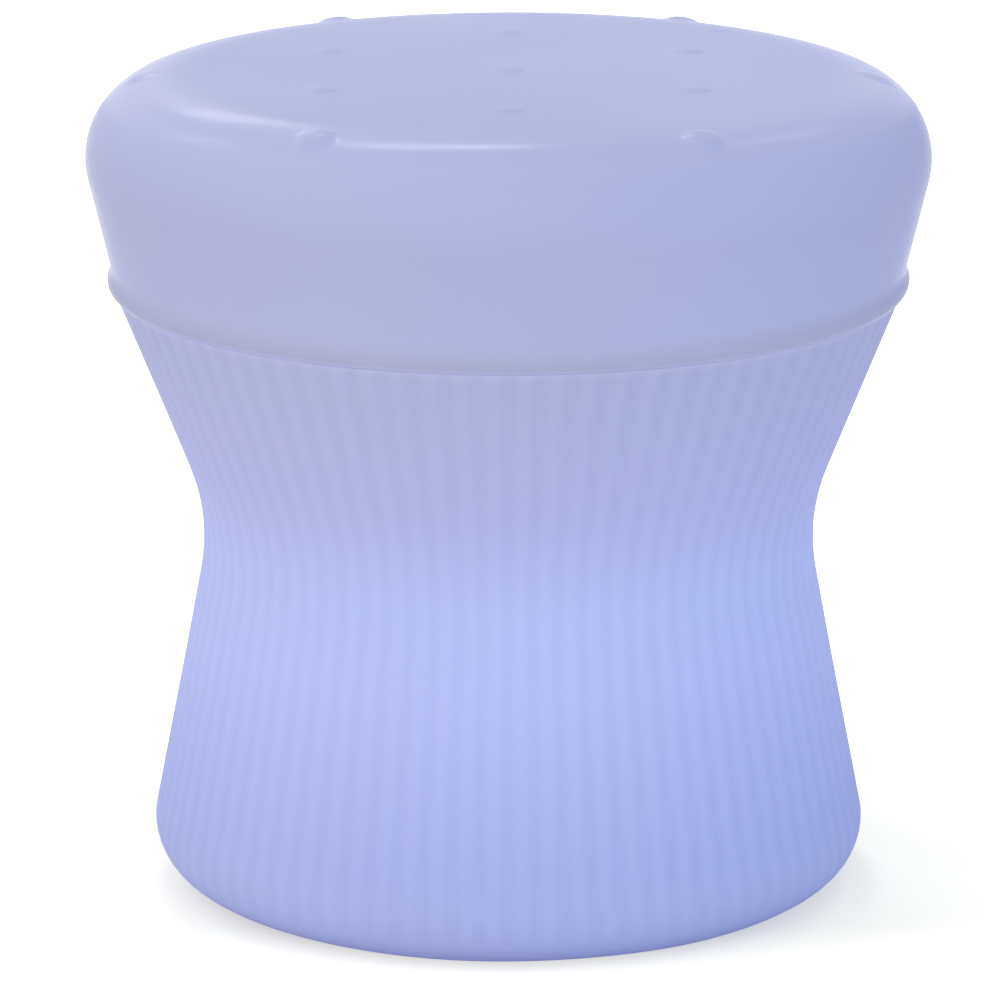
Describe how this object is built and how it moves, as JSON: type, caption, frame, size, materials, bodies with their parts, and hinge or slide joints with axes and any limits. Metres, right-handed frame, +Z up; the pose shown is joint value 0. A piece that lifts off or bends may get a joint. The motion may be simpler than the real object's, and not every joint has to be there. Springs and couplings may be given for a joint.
{
  "type": "LED light-up stool",
  "caption": "Round waisted stool with a ribbed milky body, a lift-off nubbed seat lid and a rechargeable light module screwed into the bottom.",
  "frame": {"origin": "on the floor, on the stool's vertical axis", "axes": "+Z up along the stool's axis; -Y is the side that the picture shows; the charging port lies towards +X"},
  "size_m": [0.4, 0.4, 0.3966],
  "materials": {
    "milky_shell": "semi-gloss milky polyethylene, lit from inside",
    "white_plastic": "fine satin moulding",
    "frosted_lens": "frosted",
    "grey_rubber": "matt",
    "white_foam": "closed-cell foam",
    "button_silicone": "satin silicone",
    "steel": "zinc-plated",
    "circuit_board": "white solder mask",
    "led_phosphor": "clear silicone over emitters",
    "black_plastic": "moulded",
    "cell_wrap": "shrink wrap",
    "wire_jacket": "satin"
  },
  "bodies": {
    "base": {"body_shell": "milky_shell", "lamp_tray": "white_plastic", "bottom_cover": "white_plastic", "lamp_lens": "frosted_lens", "indicator_lens": "frosted_lens", "foot_1": "grey_rubber", "foot_2": "grey_rubber", "foot_3": "grey_rubber", "foot_4": "grey_rubber", "foot_5": "grey_rubber", "foot_6": "grey_rubber", "lamp_gasket": "grey_rubber", "lens_seal": "grey_rubber", "cover_seal": "grey_rubber", "tray_screws": "steel", "lens_screws": "steel", "board_screws": "steel", "clamp_screws": "steel", "cover_screws": "steel", "button_board_screws": "steel", "port_pin": "steel", "battery_tabs": "steel", "led_board": "circuit_board", "button_board": "circuit_board", "led_chips": "led_phosphor", "driver_parts": "black_plastic", "button_switch": "black_plastic", "charge_socket": "black_plastic", "battery_clamp": "black_plastic", "battery_cell_1": "cell_wrap", "battery_cell_2": "cell_wrap", "battery_lead": "wire_jacket", "button_lead": "wire_jacket", "socket_lead": "wire_jacket"},
    "lid": {"seat_lid": "milky_shell", "seat_seal": "white_foam", "seat_brace": "white_plastic", "brace_screws": "steel"},
    "button": {"power_button": "button_silicone"},
    "port": {"port_cover": "white_plastic", "port_plug": "grey_rubber"}
  },
  "joints": [
    {"name": "lid_lift", "type": "slide", "parent": "base", "child": "lid", "axis": [0, 0, 1], "range_m": [0, 0.25]},
    {"name": "button_press", "type": "slide", "parent": "base", "child": "button", "axis": [0, 0, 1], "range_m": [0, 0.0012], "stiffness_N_per_m": 400, "springref_m": -0.002},
    {"name": "port_cover_hinge", "type": "hinge", "parent": "base", "child": "port", "pos_m": [0.043, 0, 0.0041], "axis": [0, -1, 0], "range_deg": [0, 120]}
  ]
}
